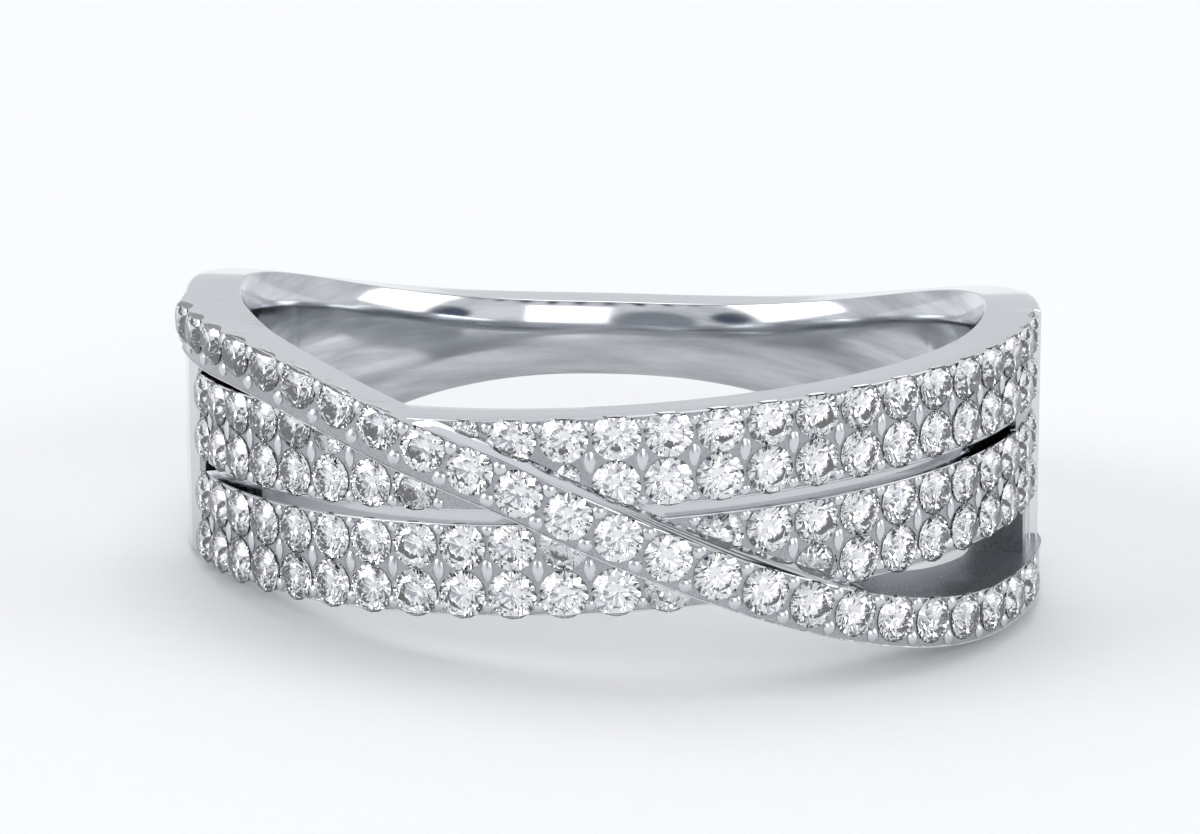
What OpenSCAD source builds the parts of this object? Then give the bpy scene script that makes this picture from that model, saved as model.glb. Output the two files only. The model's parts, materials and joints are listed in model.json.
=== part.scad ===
// Diamond wedding band, lying on its side, in millimetres.
// Two pave bands of two rows run side by side across the front half of the ring, and one
// strand of single stones crosses over both, from the upper left to the lower right.
// The ring is drawn with the finger hole's centre at the origin, its axis along +Z and the front
// at -Y, and is then tilted as it rests by itself: on its left shoulder and the strand's right end.
// Angles are degrees round the finger, 0 at the front and rising towards +X.

/* [Finger hole] */
// Radius of the finger hole, which sets the ring size
bore_r = 8.65; // [8.2:0.05:9.2]

/* [Shank] */
// Thickness of the metal from the finger hole to the outside
wall = 1.51; // [1.4:0.01:1.7]
// Half width of the shank at the back of the finger
back_half = 0.95; // [0.8:0.05:1.4]
// Half width of the shank at the sides of the finger
side_half = 2.95; // [2.85:0.05:3.05]
// How quickly the shank narrows towards the back
taper = 2.6; // [2:0.1:3.4]
// How far the left side of the shank sits above the right side, halved
side_rise = 0.24; // [0.16:0.02:0.32]
// Width of the bevel on the shank's outer corners
bevel = 0.14; // [0.06:0.01:0.2]

/* [Pave bands] */
// Height of one band's metal, from its upper edge to its lower edge
band_w = 2.02; // [1.98:0.01:2.2]
// Height of the slit between the two bands
slit_w = 0.29; // [0.24:0.01:0.31]
// How far the slit rises to the right and falls to the left
slit_swing = 0.6; // [0.45:0.05:0.75]
// How far the bands' metal lies below the outside of the shank
bed_drop = 0.41; // [0.38:0.01:0.44]
// Distance between the two rows of stones in a band
row_pitch = 1.1; // [1.1:0.01:1.12]
// Height from the middle of the slit to the middle of a band's two rows
row_mid = 1.21; // [1.2:0.01:1.24]
// Angle from one column of stones to the next
column_step = 6.65; // [6.6:0.05:6.8]

/* [Crossover strand] */
// Width of the strand's metal, square to its run
strand_w = 1.16; // [1.1:0.02:1.2]
// How far the strand stands above the bands
strand_lift = 0.3; // [0.28:0.01:0.34]
// How far the line of the strand's stones moves up and down from its mean height
strand_swing = 3.05; // [2.95:0.05:3.1]
// How far the metal lies below its line of stones at the right
metal_drop = 0.06; // [0.04:0.01:0.08]
// How much further it lies below them at the left
metal_drop_left = 0.19; // [0.14:0.01:0.2]
// Distance from one stone to the next along the strand
strand_pitch = 1.2; // [1.18:0.01:1.3]

/* [Stones] */
// Diameter of a full stone across its girdle
stone_d = 1.0; // [0.94:0.01:1.0]
// Clear space between a stone and the metal
seat_gap = 0.04; // [0.03:0.01:0.05]
// Radius of a shared prong between four stones
middle_prong_r = 0.19; // [0.14:0.01:0.22]
// Radius of a prong at the edge of a band
edge_prong_r = 0.12; // [0.09:0.01:0.13]
// Radius of a prong on the strand
strand_prong_r = 0.14; // [0.1:0.01:0.15]

/* [Hidden] */

outer_r = bore_r + wall;
bed_r = outer_r - bed_drop;
strand_r = bed_r + strand_lift;
// The girdles stand this far above the metal that carries them
girdle_lift = 0.23;
stone_r = stone_d / 2;
pavilion_h = 0.43 * stone_d;
crown_h = 0.16 * stone_d;
table_share = 0.56;
table_sides = 8;
girdle_sides = 2 * table_sides;
// A seat's cone starts this wide at its point and ends this far above the metal
seat_point_r = 0.02;
seat_over = 0.08;
strand_seat_over = 0.15;
// Prongs start inside the metal and end a little above the girdles
prong_root = 0.12;
prong_over = 0.15;
prong_h = girdle_lift + prong_over;
// The edge prongs bulge this far past a band's edge
prong_bulge = 0.02;
// A stone that meets the strand is cut along it at this gap, which clears the strand's prongs,
// and is left out if less than this shows past its point
strand_gap = 0.13;
least_shown = -0.19;

band_mid = (slit_w + band_w) / 2;
band_edge = slit_w / 2 + band_w;
slit_height = -0.03;
// The line of the strand's stones: its mean height, its dip at the front and how fast it falls
strand_half = strand_w / 2;
strand_height = -0.2;
strand_dip = 0.23;
strand_rate = 1.45;
// The strand's metal starts to drop further at this angle and has done so after this many degrees
drop_from = -12;
drop_over = 20;

// The stones' bed runs between these angles, and the openings inside it between these
bed_from = -77;
bed_to = 84;
slit_from = -73;
slit_to = 70;
gap_end = 75;
slit_over = 1;
first_column = -11;
last_column = 12;
column_shift = 0.4;
strand_from = -80;
strand_to = 86;
strand_stone_limit = 78;
strand_stone_at = -5.5;
strand_count_limit = 20;
strand_prong_at = 0.48;

// The shoulders stand this far past the strand's ends, which they take in
shoulder_over = 0.03;
// The front's edges blend into the shank's between these angles
blend_from = 86;
blend_to = 104;
// Side faces are cut along Y in front of the first angle, and square to the wall behind the second
cut_from = 60;
cut_to = 95;

// The inside points of every sweep lie in the finger hole, which is bored last
ring_in = bore_r - 0.35;
strand_in = ring_in - 0.25;
slit_in = ring_in - 0.5;
edge_bevel = 0.04;
bed_steps = 18;
back_steps = 36;
strand_steps = 42;
length_steps = 83;
short_step = 0.6;
bore_reach = 10;

// Lean to the back and to the left in which the ring rests on a table
rest_pitch = -3.02;
rest_roll = -3.47;
bore_fn = 180;
prong_fn = 16;

function clamp(v, low, high) = min(max(v, low), high);
function smooth(t) = let (u = clamp(t, 0, 1)) u * u * (3 - 2 * u);
function mix(a, b, t) = a + (b - a) * t;
function wrap(a) = a > 180 ? a - 360 : a;

// Middle height of the slit, and of the strand, at an angle
function slit_mid(a) = slit_height + slit_swing * sin(a);
function strand_mid(a) = strand_height - strand_dip * cos(a)
    - strand_swing * sin(clamp(strand_rate * a, -90, 90));
// Angle by which the strand slopes down to the right, and the heights of its metal's edges
function strand_slope(a) = atan2(strand_mid(a) - strand_mid(a + 1),
                                 PI / 180 * (strand_r + girdle_lift));
function metal_mid(a) = strand_mid(a) - metal_drop
    - metal_drop_left * smooth((drop_from - a) / drop_over);
function metal_edge(a, side) = metal_mid(a) + side * strand_half / cos(strand_slope(a));

// Half width and middle height of the shank
function shank_half(a) = abs(a) < 90 ? side_half
    : back_half + (side_half - back_half) * pow(abs(sin(a)), taper);
function shank_mid(a) = -side_rise * sin(a);

// The angle at which a point of a side face reads its height
function reading_angle(a, r) = abs(a) >= 90 ? a
    : mix(asin(r * sin(a) / outer_r), a, smooth((abs(a) - cut_from) / (cut_to - cut_from)));
function shank_share(a) = smooth((abs(a) - blend_from) / (blend_to - blend_from));

// Upper and lower edge of the whole ring: the strand's where its gap has closed
function upper_edge(a, r) = let (b = reading_angle(a, r))
    mix(a < -gap_end ? metal_edge(b, 1) + shoulder_over : slit_mid(b) + band_edge,
        shank_mid(a) + shank_half(a), shank_share(a));
function lower_edge(a, r) = let (b = reading_angle(a, r))
    mix(a > gap_end ? metal_edge(b, -1) - shoulder_over : slit_mid(b) - band_edge,
        shank_mid(a) - shank_half(a), shank_share(a));

function in_bed(a) = a >= bed_from && a <= bed_to;
function point(a, r, z) = [r * sin(a), -r * cos(a), z];

// Six corners of a section: radii, heights and a bevel on the two outer corners
function section(a, inside, r, cut, heights) = [
    point(a, inside, heights[0]),
    point(a, r - cut, heights[1]),
    point(a, r, heights[1] - cut),
    point(a, r, heights[2] + cut),
    point(a, r - cut, heights[2]),
    point(a, inside, heights[3])];

function ring_section(angle) = let (
    a = wrap(angle),
    r = in_bed(a) ? bed_r : outer_r,
    cut = in_bed(a) ? edge_bevel : bevel)
    section(a, ring_in, r, cut, [upper_edge(a, ring_in), upper_edge(a, r),
                                 lower_edge(a, r), lower_edge(a, ring_in)]);

function strand_section(a) = let (
    inner = reading_angle(a, strand_in),
    outer = reading_angle(a, strand_r))
    section(a, strand_in, strand_r, edge_bevel, [metal_edge(inner, 1), metal_edge(outer, 1),
                                                 metal_edge(outer, -1), metal_edge(inner, -1)]);

function slit_section(a) = let (
    far = outer_r + slit_over,
    inner = slit_mid(reading_angle(a, slit_in)),
    outer = slit_mid(reading_angle(a, outer_r)))
    [point(a, slit_in, inner + slit_w / 2), point(a, far, outer + slit_w / 2),
     point(a, far, outer - slit_w / 2), point(a, slit_in, inner - slit_w / 2)];

// A solid through sections with the same number of corners, as a ring or with two flat ends
module sweep(sections, closed) {
    n = len(sections[0]);
    count = len(sections);
    last = closed ? count - 1 : count - 2;
    sides = [for (i = [0:last], j = [0:n - 1]) let (
        k = (i + 1) % count, m = (j + 1) % n)
        each [[i * n + j, k * n + m, i * n + m], [i * n + j, k * n + j, k * n + m]]];
    ends = closed ? [] : [[for (j = [0:n - 1]) j], [for (j = [n - 1:-1:0]) (count - 1) * n + j]];
    polyhedron([for (s = sections) each s], concat(sides, ends), convexity = 8);
}

bed_angles = concat(
    [bed_from, -gap_end - short_step],
    [for (i = [-bed_steps:bed_steps]) i * gap_end / bed_steps],
    [gap_end + short_step, mix(gap_end, bed_to, 0.5), bed_to]);
back_angles = [for (i = [0:back_steps])
    mix(bed_to + short_step, 360 + bed_from - short_step, i / back_steps)];

// Length along the strand from its left end, paired with the angle, in both orders
strand_step = (strand_to - strand_from) / length_steps;
function strand_piece(a) = norm([
    strand_step * PI / 180 * (strand_r + girdle_lift),
    strand_mid(a + strand_step) - strand_mid(a)]);
strand_run = [for (i = 0, s = 0; i <= length_steps;
                   s = s + strand_piece(strand_from + i * strand_step), i = i + 1)
    [strand_from + i * strand_step, s]];
strand_angle_at = [for (p = strand_run) [p[1], p[0]]];
strand_origin = lookup(strand_stone_at, strand_run);
function strand_place(k) = lookup(strand_origin + k * strand_pitch, strand_angle_at);
strand_numbers = [for (k = [-strand_count_limit:strand_count_limit])
    if (abs(strand_place(k)) < strand_stone_limit) k];

// Clear distance from a point on a band to the side of the strand
function strand_clear(a, z) = abs(z - metal_mid(a)) * cos(strand_slope(a)) - strand_half;

function column_angle(i) = column_shift + column_step * i;
function row_height(i, band, row) = slit_mid(column_angle(i)) + band * row_mid
    + row * row_pitch / 2;

// Angle and height of every stone of a band that the strand leaves room for
function band_stones(band) = [for (i = [first_column:last_column], row = [-1, 1]) let (
    a = column_angle(i), z = row_height(i, band, row))
    if (strand_clear(a, z) - strand_gap > least_shown) [a, z]];
strand_stones = [for (k = strand_numbers) let (a = strand_place(k)) [a, strand_mid(a)]];

// Angle, height and radius of every prong: at both edges and in the middle of each band
edge_prong_at = band_w / 2 - edge_prong_r + prong_bulge;
function band_prongs(band) = [for (i = [first_column:last_column + 1], side = [-1:1]) let (
    a = column_angle(i - 0.5),
    r = side == 0 ? middle_prong_r : edge_prong_r,
    z = slit_mid(a) + (side == 0 ? band * row_mid : band * band_mid + side * edge_prong_at))
    if (strand_clear(a, z) > r / 2 && a > bed_from && a < bed_to) [a, z, r]];
// The strand's prongs stand on its metal, beside the line of stones
function metal_reach(a, side) = side * (metal_edge(a, side) - strand_mid(a)) * cos(strand_slope(a));
strand_prongs = [for (k = concat([strand_numbers[0] - 1], strand_numbers), side = [-1, 1]) let (
    mid = strand_place(k + 0.5),
    slope = strand_slope(mid),
    out = side * min(strand_prong_at, metal_reach(mid, side)),
    a = mid + out * sin(slope) * 180 / PI / (strand_r + girdle_lift))
    [a, strand_mid(mid) + out * cos(slope), strand_prong_r]];

module at_rest() rotate([rest_pitch, rest_roll, 0]) children();

module on_ring(place, r) {
    rotate([0, 0, place[0]])
        translate([0, -r, place[1]])
            rotate([90, 0, 0])
                children();
}

// Brilliant cut with its girdle at z = 0: table, crown of 24 facets, pavilion of 16
function corners(n, r, z) = [for (i = [0:n - 1]) [r * cos(360 * i / n), r * sin(360 * i / n), z]];
function girdle_corner(i) = table_sides + (i + girdle_sides) % girdle_sides;
module stone() {
    girdle = girdle_sides - 1;
    table = table_sides - 1;
    point = table_sides + girdle_sides;
    stars = [for (i = [0:table]) [i, (i + 1) % table_sides, girdle_corner(2 * i + 1)]];
    kites = [for (i = [0:table]) each [
        [i, girdle_corner(2 * i + 1), girdle_corner(2 * i)],
        [i, girdle_corner(2 * i), girdle_corner(2 * i - 1)]]];
    pavilion = [for (i = [0:girdle]) [point, girdle_corner(i), girdle_corner(i + 1)]];
    polyhedron(
        concat(corners(table_sides, table_share * stone_r, crown_h),
               corners(girdle_sides, stone_r, 0), [[0, 0, -pavilion_h]]),
        concat([[for (i = [table:-1:0]) i]], stars, kites, pavilion));
}

// A stone of a band, cut off square where the strand's side stands in its way
module stone_beside_strand(place) {
    shown = strand_clear(place[0], place[1]) - strand_gap;
    slope = strand_slope(place[0]);
    to_strand = place[1] > metal_mid(place[0]) ? -90 - slope : 90 - slope;
    if (shown > stone_r) stone();
    else difference() {
        stone();
        rotate([0, 0, to_strand])
            translate([shown, -2 * stone_r, -2 * stone_r])
                cube(4 * stone_r);
    }
}

// Conical seat that clears the pavilion down to its point
module seat(over) {
    depth = pavilion_h + seat_gap;
    h = depth - girdle_lift + over;
    translate([0, 0, -depth])
        cylinder(h = h, r1 = seat_point_r, r2 = (stone_r + seat_gap / 2) * h / depth,
                 $fn = prong_fn);
}

module seats(places, carrier_r, over) {
    for (p = places) on_ring(p, carrier_r + girdle_lift) seat(over);
}

module prongs(places, carrier_r) {
    for (p = places) on_ring(p, carrier_r - prong_root)
        cylinder(h = prong_root + prong_h, r = p[2], $fn = prong_fn);
}

module bare_ring() {
    difference() {
        union() {
            difference() {
                sweep([for (a = concat(bed_angles, back_angles)) ring_section(a)], true);
                sweep([for (i = [0:strand_steps])
                    slit_section(mix(slit_from, slit_to, i / strand_steps))], false);
            }
            sweep([for (i = [0:strand_steps])
                strand_section(mix(strand_from, strand_to, i / strand_steps))], false);
        }
        translate([0, 0, -bore_reach]) cylinder(h = 2 * bore_reach, r = bore_r, $fn = bore_fn);
    }
}

module ring_body() color("silver") at_rest() {
    difference() {
        bare_ring();
        seats(band_stones(1), bed_r, seat_over);
        seats(band_stones(-1), bed_r, seat_over);
        seats(strand_stones, strand_r, strand_seat_over);
    }
    prongs(band_prongs(1), bed_r);
    prongs(band_prongs(-1), bed_r);
    prongs(strand_prongs, strand_r);
}

module band_of_stones(band) {
    for (p = band_stones(band)) on_ring(p, bed_r + girdle_lift) stone_beside_strand(p);
}

module upper_band_stones() color("aliceblue") at_rest() band_of_stones(1);

module lower_band_stones() color("aliceblue") at_rest() band_of_stones(-1);

module crossover_stones() color("white") at_rest() {
    for (p = strand_stones) on_ring(p, strand_r + girdle_lift) stone();
}

ring_body();
upper_band_stones();
lower_band_stones();
crossover_stones();
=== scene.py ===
# %% [markdown]
# # Diamond wedding band
# The ring lies on its side on a pale table and is seen from just above. It is cast in white gold
# in one piece, and 112 round brilliants are held on its front half by small beads of metal.
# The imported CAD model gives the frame: sizes, places and the four nodes. Each node gets the
# surface of the real thing here: rounded edges, domed beads, full brilliant cuts and a polish.

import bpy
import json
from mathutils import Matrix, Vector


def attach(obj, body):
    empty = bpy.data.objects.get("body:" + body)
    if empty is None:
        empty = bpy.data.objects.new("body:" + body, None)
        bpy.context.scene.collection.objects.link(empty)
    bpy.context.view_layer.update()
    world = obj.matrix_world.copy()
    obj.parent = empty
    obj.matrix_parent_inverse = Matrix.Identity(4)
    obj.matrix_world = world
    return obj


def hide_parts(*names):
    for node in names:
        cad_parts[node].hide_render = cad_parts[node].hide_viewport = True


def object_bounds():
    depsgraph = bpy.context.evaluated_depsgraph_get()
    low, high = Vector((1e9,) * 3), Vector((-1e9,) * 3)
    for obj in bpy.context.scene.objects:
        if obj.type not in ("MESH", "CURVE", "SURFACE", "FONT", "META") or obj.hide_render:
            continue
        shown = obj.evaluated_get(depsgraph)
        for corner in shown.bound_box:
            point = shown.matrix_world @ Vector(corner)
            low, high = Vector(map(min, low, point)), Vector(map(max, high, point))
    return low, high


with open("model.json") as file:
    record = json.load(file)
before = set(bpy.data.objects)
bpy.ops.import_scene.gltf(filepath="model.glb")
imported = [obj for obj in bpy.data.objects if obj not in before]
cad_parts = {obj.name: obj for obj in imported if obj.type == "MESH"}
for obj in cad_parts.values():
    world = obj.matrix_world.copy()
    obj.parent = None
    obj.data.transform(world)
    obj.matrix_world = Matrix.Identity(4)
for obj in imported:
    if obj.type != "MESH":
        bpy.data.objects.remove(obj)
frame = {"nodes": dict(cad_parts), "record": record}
cad_box = [list(corner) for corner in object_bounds()]
print("CAD nodes:", sorted(frame["nodes"]))

# %% Tools of the script
import json
import math

import bpy
from mathutils import Matrix, Vector

MM = 0.001
size = [round(1000 * (high - low), 2) for low, high in zip(*cad_box)]
print("CAD box in mm:", size)

# %% [markdown]
# The finger hole is the one size that everything follows, so its radius and its axis are read
# from the frame. The axis leans a little, because the ring rests on its left shoulder and on the
# right end of its strand. Everything below is drawn in millimetres round an upright axis, and
# turned by that lean when it is finished. Angles are degrees round the finger, 0 at the front
# and positive to the right.

# %% Finger hole and lean
hole = frame["record"]["mounts"][0]
bore_r = hole["dims"]["r_mm"]
hole_axis = Vector(hole["axis"]).normalized()
lean_back = math.asin(-hole_axis.y)
lean_left = math.atan2(hole_axis.x, hole_axis.z)
at_rest = Matrix.Rotation(lean_left, 4, "Y") @ Matrix.Rotation(lean_back, 4, "X")
print("finger hole", 2 * bore_r, "mm across, leaning", round(math.degrees(hole_axis.angle((0, 0, 1))), 1))

# %% [markdown]
# A jeweller's order for such a ring is a short list of sizes: the wall, the bands, the pitch of
# the stones. These are the sizes that the CAD source has too, so the surface fits its solids.

# %% Driving sizes in millimetres and degrees
wall, bed_drop, strand_lift, girdle_lift = 1.51, 0.41, 0.3, 0.23
outer_r = bore_r + wall
bed_r = outer_r - bed_drop
strand_r = bed_r + strand_lift

back_half, side_half, taper, side_rise = 0.95, 2.95, 2.6, 0.24
slit_w, band_w, slit_height, slit_swing = 0.29, 2.02, -0.03, 0.6
band_edge = slit_w / 2 + band_w
band_mid = (slit_w + band_w) / 2
row_mid, row_pitch, column_step, column_shift = 1.21, 1.1, 6.65, 0.4
strand_half, strand_height, strand_dip, strand_swing, strand_rate = 0.58, -0.2, 0.23, 3.05, 1.45
metal_drop, metal_drop_left, drop_from, drop_over = 0.06, 0.19, -12, 20
strand_pitch, strand_stone_at, strand_stone_limit = 1.2, -5.5, 78

bed_from, bed_to, gap_end = -77, 84, 75
slit_from, slit_to = -73, 70
strand_from, strand_to = -80, 86
blend_from, blend_to, cut_from, cut_to = 86, 104, 60, 95
print("outside", outer_r, "bed", bed_r, "strand", strand_r)


# %% [markdown]
# The front is drawn by a few curves: the slit between the bands swings up to the right, and the
# strand runs down from the upper left. The side faces of the front are cut straight back, so a
# point of a side face reads its height at the angle where its own straight cut starts.

# %% Sine, cosine, mixing and a soft step
def sin(a):
    return math.sin(math.radians(a))


def cos(a):
    return math.cos(math.radians(a))


def mix(a, b, t):
    return a + (b - a) * t


def smooth(t):
    u = min(max(t, 0), 1)
    return u * u * (3 - 2 * u)


def past(a, step):
    """0 before a step, given as its first angle and its width, and 1 after it."""
    begin, wide = step
    return smooth((a - begin) / wide)


print("half way through a step:", past(5, (0, 10)))


# %% Curves of the front
def slit_mid(a):
    return slit_height + slit_swing * sin(a)


def strand_mid(a):
    return strand_height - strand_dip * cos(a) - strand_swing * sin(min(max(strand_rate * a, -90), 90))


def strand_slope(a):
    drop = strand_mid(a) - strand_mid(a + 1)
    return math.degrees(math.atan2(drop, math.radians(1) * (strand_r + girdle_lift)))


def metal_mid(a):
    return strand_mid(a) - metal_drop - metal_drop_left * smooth((drop_from - a) / drop_over)


def metal_edge(a, side, half=strand_half):
    return metal_mid(a) + side * half / cos(strand_slope(a))


def reading_angle(a, r):
    if abs(a) >= 90:
        return a
    straight = math.degrees(math.asin(min(max(r * sin(a) / outer_r, -1), 1)))
    return mix(straight, a, smooth((abs(a) - cut_from) / (cut_to - cut_from)))


print("slit rises", 2 * slit_swing, "mm, strand falls", round(strand_mid(-60) - strand_mid(60), 2), "mm")


# %% [markdown]
# The shank narrows from its shoulders to the back. Near the ends of the stones its edges take
# over from those of the bands and of the strand, with a soft blend, as a filed and polished
# shoulder has.

# %% Edges of the whole ring
def shank_edge(a, side):
    half = side_half
    if abs(a) > 90:
        half = back_half + (side_half - back_half) * abs(sin(a)) ** taper
    return -side_rise * sin(a) + side * half


top_rim, bottom_rim = 0.05, 0.07
end_blend, end_sink, end_rise, rise_over = 1.5, 0.012, 0.012, 6
bed_step = 0.9


def ring_edge(a, r, side):
    """Height of the upper (side 1) or lower (side -1) face of the ring at an angle and radius."""
    b = reading_angle(a, r)
    past_gap = -side * a - gap_end
    band = slit_mid(b) + side * band_edge + (top_rim if side > 0 else -bottom_rim)
    over = mix(-end_sink, end_rise, smooth(past_gap / rise_over))
    strand = metal_edge(b, side) + side * over
    front = mix(band, strand, smooth(past_gap / end_blend))
    return mix(front, shank_edge(a, side), smooth((abs(a) - blend_from) / (blend_to - blend_from)))


def top_edge(a, r, side):
    """The same with the strand laid over the bands, which is what the finger hole's rim follows."""
    edge = ring_edge(a, r, side)
    if strand_from < a < strand_to:
        edge = side * max(side * edge, side * metal_edge(reading_angle(a, r), side))
    return edge


def past_bed(a):
    """0 on the stones' bed and 1 on the plain shank, with a short soft step between them."""
    return smooth(max(bed_from - a, a - bed_to) / bed_step)


print("widest", round(ring_edge(-80, bore_r, 1) - ring_edge(-80, bore_r, -1), 2), "mm at the left shoulder")


# %% [markdown]
# All metal is made the way a ring is built in wax: long strips are swept along the ring, fused,
# bored and drilled. A sweep is a loop of points for each angle, joined by quads. Boolean
# modifiers with the Manifold solver fuse and cut, because they keep every solid closed.

# %% Solids from sweeps, and fusing them
def solid(name, points, faces):
    mesh = bpy.data.meshes.new(name)
    mesh.from_pydata(points, [], faces)
    made = bpy.data.objects.new(name, mesh)
    bpy.context.scene.collection.objects.link(made)
    return made


def sweep(name, loops, closed):
    n, count = len(loops[0]), len(loops)
    points = [p for loop in loops for p in loop]
    faces = []
    for i in range(count if closed else count - 1):
        k = (i + 1) % count
        faces += [(i * n + j, i * n + (j + 1) % n, k * n + (j + 1) % n, k * n + j) for j in range(n)]
    if not closed:
        faces += [tuple(reversed(range(n))), tuple(range((count - 1) * n, count * n))]
    return solid(name, points, faces)


def combine(body, other, how):
    """body with other added (UNION) or cut away (DIFFERENCE); other is used up."""
    tool = body.modifiers.new("combine", "BOOLEAN")
    tool.solver, tool.operation, tool.object = "MANIFOLD", how, other
    depsgraph = bpy.context.evaluated_depsgraph_get()
    result = bpy.data.meshes.new_from_object(body.evaluated_get(depsgraph))
    body.modifiers.clear()
    body.data = result
    result.materials.clear()
    print(how.lower(), other.name, "->", len(result.polygons), "faces")
    bpy.data.objects.remove(other)


def on_ring(a, r, z):
    return (r * sin(a), -r * cos(a), z)


# %% [markdown]
# The blank carries both bands. Its section is the outer face with a rounded corner at each
# side: full and soft on the shank, and almost sharp on the stones' bed. The side faces twist along
# the ring, so they get several rows of points: on one tall quad a mirror would show the twist as
# a sawtooth.

# %% The blank: shank, shoulders and both bands
corner_steps, side_rows = 6, 6
bed_corner, shank_corner, bed_rise = 0.02, 0.17, 0.215
blank_in = bore_r - 0.35


def corner(r, c, steps=corner_steps):
    """Radius and inset of the points of a rounded corner, from the side face to the outside."""
    turns = [90 * i / steps for i in range(steps + 1)]
    return [(r - c * (1 - sin(t)), c * (1 - cos(t))) for t in turns]


def blank_loop(a):
    share = past_bed(a)
    face_r, round_r = mix(bed_r + bed_rise, outer_r, share), mix(bed_corner, shank_corner, share)
    side_face = [(mix(blank_in, face_r - round_r, i / side_rows), 0) for i in range(side_rows)]
    section = side_face + corner(face_r, round_r)
    upper = [on_ring(a, r, ring_edge(a, r, 1) - inset) for r, inset in section]
    lower = [on_ring(a, r, ring_edge(a, r, -1) + inset) for r, inset in section]
    return upper + lower[::-1]


fine_step, fine_rows = 0.15, range(7)
fine = [bed_from - bed_step + fine_step * i for i in fine_rows]
fine += [bed_to + fine_step * i for i in fine_rows]
fine += [side * (gap_end + end_blend * i / 6) for side in (-1, 1) for i in fine_rows]
blank_angles = sorted(set(range(-180, 180)) | {round(a, 3) for a in fine})
ring = sweep("ring_metal", [blank_loop(a) for a in blank_angles], True)
print("blank sections", len(blank_angles))

# %% [markdown]
# The gap between the two bands is open right through to the finger hole. Its faces run straight
# back like the sides of the bands, so one swept block of the slit's width is taken out.

# %% Open the slit between the bands
slit_in, slit_out = blank_in - 0.2, outer_r + 1


def slit_face(a, r, side):
    return slit_mid(reading_angle(a, min(r, outer_r))) + side * slit_w / 2


def slit_loop(a):
    rows = ((slit_in, 1), (slit_out, 1), (slit_out, -1), (slit_in, -1))
    return [on_ring(a, r, slit_face(a, r, side)) for r, side in rows]


slit_cut = sweep("slit", [slit_loop(a) for a in range(slit_from, slit_to + 1)], False)
combine(ring, slit_cut, "DIFFERENCE")


# %% [markdown]
# The stones stand in rows that line up across both bands. Each place is an angle and a height.
# Between four stones stands one tall bead, and at a band's edges a small round one stands
# between each two stones.

# %% Places of the stones and beads
def strand_clear(a, z):
    """Distance from a point on a band to the side of the strand."""
    return abs(z - metal_mid(a)) * cos(strand_slope(a)) - strand_half


def column_angle(i):
    return column_shift + column_step * i


columns = range(-11, 13)
least_clear = -0.06  # a stone whose middle lies deeper than this in the strand is left out


def band_places(band):
    places = []
    for i in columns:
        a = column_angle(i)
        for row in (-1, 1):
            z = slit_mid(a) + band * row_mid + row * row_pitch / 2
            if strand_clear(a, z) > least_clear:
                places.append((a, z))
    return places


# The strand's middle line as a table, degree by degree: the angle, and the length run so far.
run = [(strand_from, 0.0)]
for i in range(strand_to - strand_from):
    a = run[-1][0]
    rise = strand_mid(a + 1) - strand_mid(a)
    run.append((a + 1, run[-1][1] + math.hypot(math.radians(1) * (strand_r + girdle_lift), rise)))


def along(value, given, wanted):
    """Column wanted of the strand's run where column given has that value."""
    for low, high in zip(run, run[1:]):
        if low[given] <= value <= high[given]:
            share = (value - low[given]) / (high[given] - low[given])
            return mix(low[wanted], high[wanted], share)
    return None


start = along(strand_stone_at, 0, 1)
strand_angles = {k: along(start + k * strand_pitch, 1, 0) for k in range(-20, 21)}
strand_angles = {k: a for k, a in strand_angles.items() if a and abs(a) < strand_stone_limit}
strand_places = [(a, strand_mid(a)) for a in strand_angles.values()]
print("stones:", len(band_places(1)), len(band_places(-1)), len(strand_places))


# %% [markdown]
# The strand's side spreads towards its foot where it crosses the bands. A stone that meets it is
# cut off there: its crown runs on to the slanted wall, and below its girdle the polished metal
# mirrors the rest of the stone, so it sparkles almost as a whole one does. Where less than half
# of it would be left, half of a smaller stone fills the corner, as a setter would do. The CAD
# stones stand a little apart, and these almost touch, as the real ones do.

# %% Room beside a stone
cut_r = 0.55
upper_foot, upper_fade = 0.22, (24, 12)
lower_foot, lower_start, lower_fade = 0.06, (-46, 12), (6, 10)
wall_foot_r, lip_top = bed_r + 0.25, strand_r + 0.235


def foot(a, side):
    """How far the strand's side spreads at the bands' surface."""
    if side > 0:
        below_rim = max(ring_edge(a, bed_r, 1) - metal_edge(a, 1), 0)
        return min(upper_foot, below_rim) * (1 - past(a, upper_fade))
    return lower_foot * past(a, lower_start) * (1 - past(a, lower_fade))


def strand_wall(a, z):
    """Direction towards the strand from a band's stone, the room up to its wall, and its spread."""
    slope = strand_slope(a)
    away = 1 if z > metal_mid(a) else -1
    spread = foot(a, away)
    return (-away * sin(slope), -away * cos(slope)), strand_clear(a, z) - spread, spread


def walls_by_upper(a, z):
    return [strand_wall(a, z), ((0, 1), ring_edge(a, bed_r + girdle_lift, 1) - z, 0)]


def walls_by_lower(a, z):
    return [strand_wall(a, z), ((0, 1), slit_face(a, bed_r + girdle_lift, -1) - z, 0)]


def walls_by_crossing(a, z):
    """Direction towards the strand's upper lip from one of its own stones, and the room."""
    slope = strand_slope(a)
    return [((sin(slope), cos(slope)), (metal_edge(a, 1) - z) * cos(slope), 0)]


def fitted(a, z, walls_by):
    """Share of its full size, and the shift away from the strand, of the stone at a place."""
    (dx, dy), room, _ = walls_by(a, z)[0]
    share = min(1, (cut_r + room) / cut_r)
    away = (1 - share) * cut_r
    return share, -away * dx, -away * dy


print("strand's foot at the front:", round(foot(0, 1), 2), "above,", round(foot(0, -1), 2), "below")


# %% [markdown]
# Each stone's seat is drilled as a cone, a hair larger than the stone's underside.

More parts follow.
